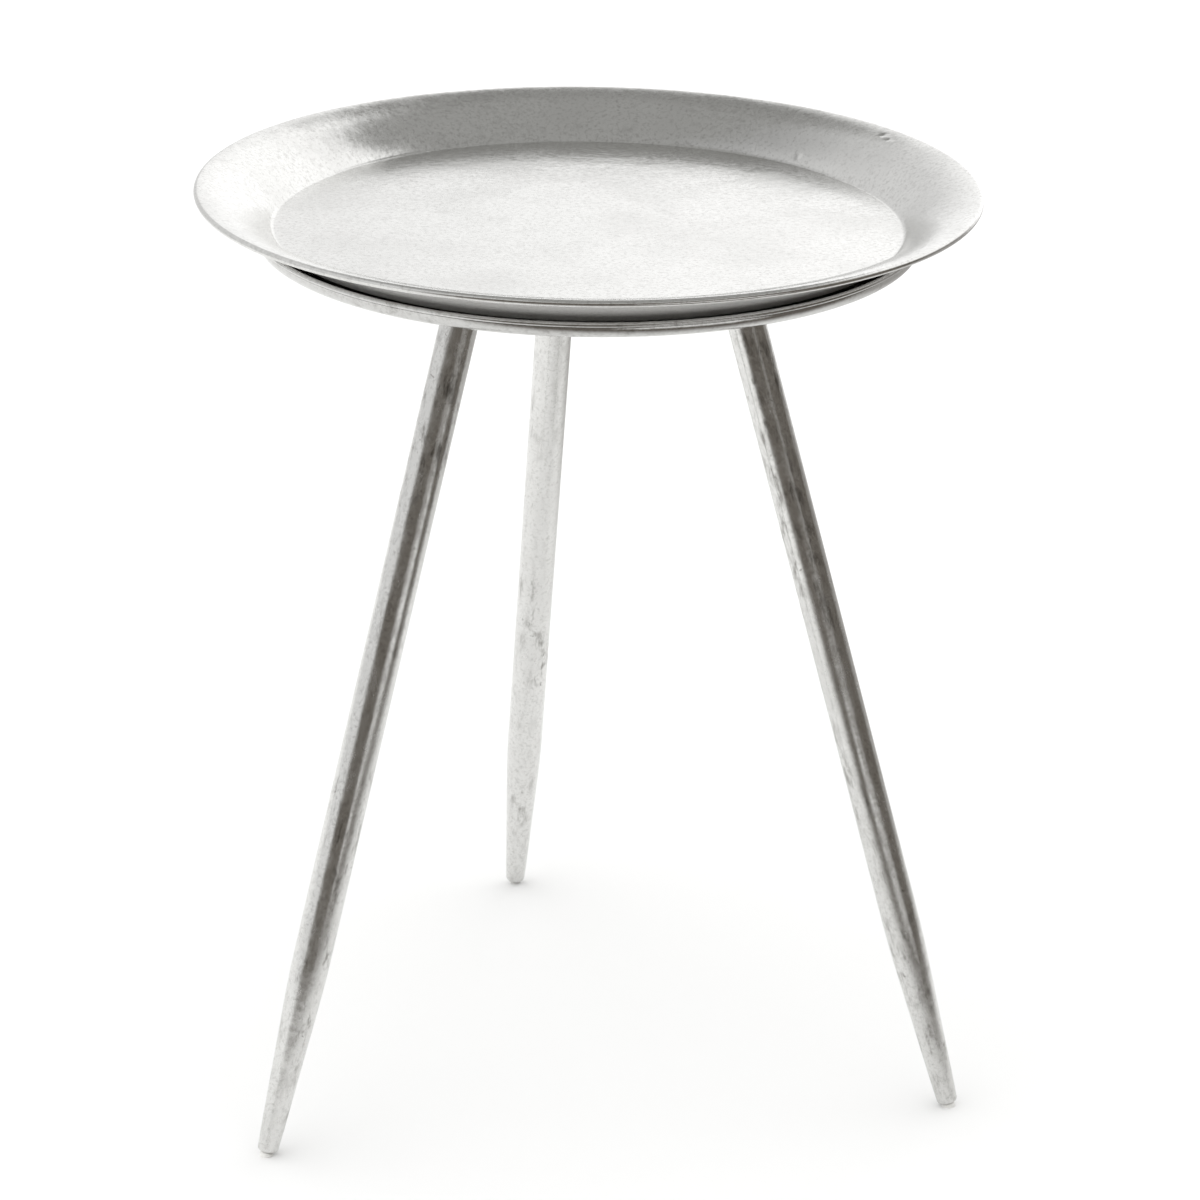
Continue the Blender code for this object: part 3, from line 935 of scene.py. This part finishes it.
def make_world():
    """The room that the metal mirrors: white walls, grey ceiling, dark side behind the camera."""
    world = bpy.data.worlds.new("studio")
    bpy.context.scene.world = world
    s = Shader(world)
    generated = s.add("ShaderNodeTexCoord").outputs["Generated"]
    parts = s.add("ShaderNodeSeparateXYZ", {"Vector": s.turned(generated, (0, 0, -CAMERA_AZIMUTH))})
    across, away, height = (parts.outputs[axis] for axis in "XYZ")

    toward_dark = s.math("SUBTRACT", scaled(s, across, math.sin), scaled(s, away, math.cos))
    beside_dark = s.math("ADD", scaled(s, across, math.cos), scaled(s, away, math.sin))
    room = walls_and_ceiling(s, across, height, toward_dark)

    front_wall = s.math("MULTIPLY", s.ranged(toward_dark, 0.2, 0.5), s.ranged(height, 0.60, 0.48))
    room = s.mix(front_wall, room, (0.66, 0.66, 0.65))
    shade = s.math("MULTIPLY", s.ranged(toward_dark, -0.02, 0.36), s.ranged(height, 0.36, 0.16))
    low_right = s.math("MULTIPLY", s.ranged(across, 0.50, 0.75), s.ranged(height, 0.36, 0.20))
    shade = s.math("MAXIMUM", shade, s.math("MULTIPLY", low_right, 0.85))
    room = s.mix(shade, room, (0.150, 0.135, 0.118))
    strip = light_strip(s, height, toward_dark, beside_dark)
    room = s.mix(s.math("MULTIPLY", strip, 0.22), room, (1.0, 1.0, 0.99))

    seen = s.add("ShaderNodeLightPath").outputs["Is Camera Ray"]
    background = s.tree.nodes["Background"].inputs
    s.feed(background["Color"], s.mix(seen, room, (1.0, 1.0, 1.0)))
    s.feed(background["Strength"], 1.0)


def scaled(s, direction, part):
    """A direction's share along or across the way to the dark side."""
    return s.math("MULTIPLY", direction, part(DARK_WAY))


def walls_and_ceiling(s, across, height, toward_dark):
    """White walls, brighter to the right and higher at both sides, under a grey ceiling."""
    right_rise = s.ranged(across, 0.05, 0.25, 0, 0.22)
    left_rise = s.ranged(across, -0.08, -0.40, 0, 0.36)
    wall_top = s.math("SUBTRACT", height, s.math("ADD", right_rise, left_rise))
    wall = s.math("MULTIPLY", s.ranged(wall_top, 0.56, 0.48), s.ranged(toward_dark, 0.62, 0.36))
    brightness = s.ranged(across, -0.28, 0.15, 0.84, 1.40)
    brightness = s.math("MULTIPLY", brightness, s.ranged(height, 0.60, 0.90, 1.0, 0.55))
    levels = {channel: brightness for channel in range(3)}
    wall_colour = s.add("ShaderNodeCombineColor", levels).outputs[0]
    ceiling = s.mix(s.ranged(height, 0.70, 0.90), (0.315, 0.315, 0.305), (0.40, 0.40, 0.39))
    return s.mix(wall, ceiling, wall_colour)


def light_strip(s, height, toward_dark, beside_dark):
    """A faint bright strip low in the dark side, wider towards the floor."""
    half_width = s.ranged(height, 0.12, -0.36, 0.02, 0.30, smooth=False)
    beyond = s.math("SUBTRACT", s.math("ABSOLUTE", beside_dark), half_width)
    strip = s.math("MULTIPLY", s.ranged(beyond, 0.04, -0.02), s.ranged(height, 0.14, 0.0))
    return s.math("MULTIPLY", strip, s.ranged(toward_dark, 0.0, 0.2))


def build():
    bpy.context.scene.view_settings.view_transform = "Standard"
    make_camera()
    make_floor(studio_floor("pale_board"))
    make_light()
    make_world()

    zinc = zinc_plate("zinc_plate", 4)
    fastener = zinc_plate("fastener_zinc", 9)
    tray_metal = antiqued_silver("tray_silver", 1, 0.73, 0.4, (0.15, 0.26))
    make_tray(tray_metal, dull_underside("tray_underside", 3))
    make_pan(antiqued_silver("pan_silver", 2, 0.63, 0.8, (0.12, 0.22)))
    make_pads(rubber("pad_rubber"))
    make_plate(zinc)
    metals = []
    for seed, leg in enumerate(LEGS, 5):
        look = {"tone": 0.75, "wear": 1.3, "roughness": (0.17, 0.28), "stretch": (1, 1, 0.35)}
        metals.append(antiqued_silver(f"leg_silver_{leg}", seed, axes=leg_frame(leg), **look))
    make_legs(metals, zinc, fastener, natural_nylon("glide_nylon"))
    make_brackets(cast_silver("cast_silver", 6), fastener)


build()
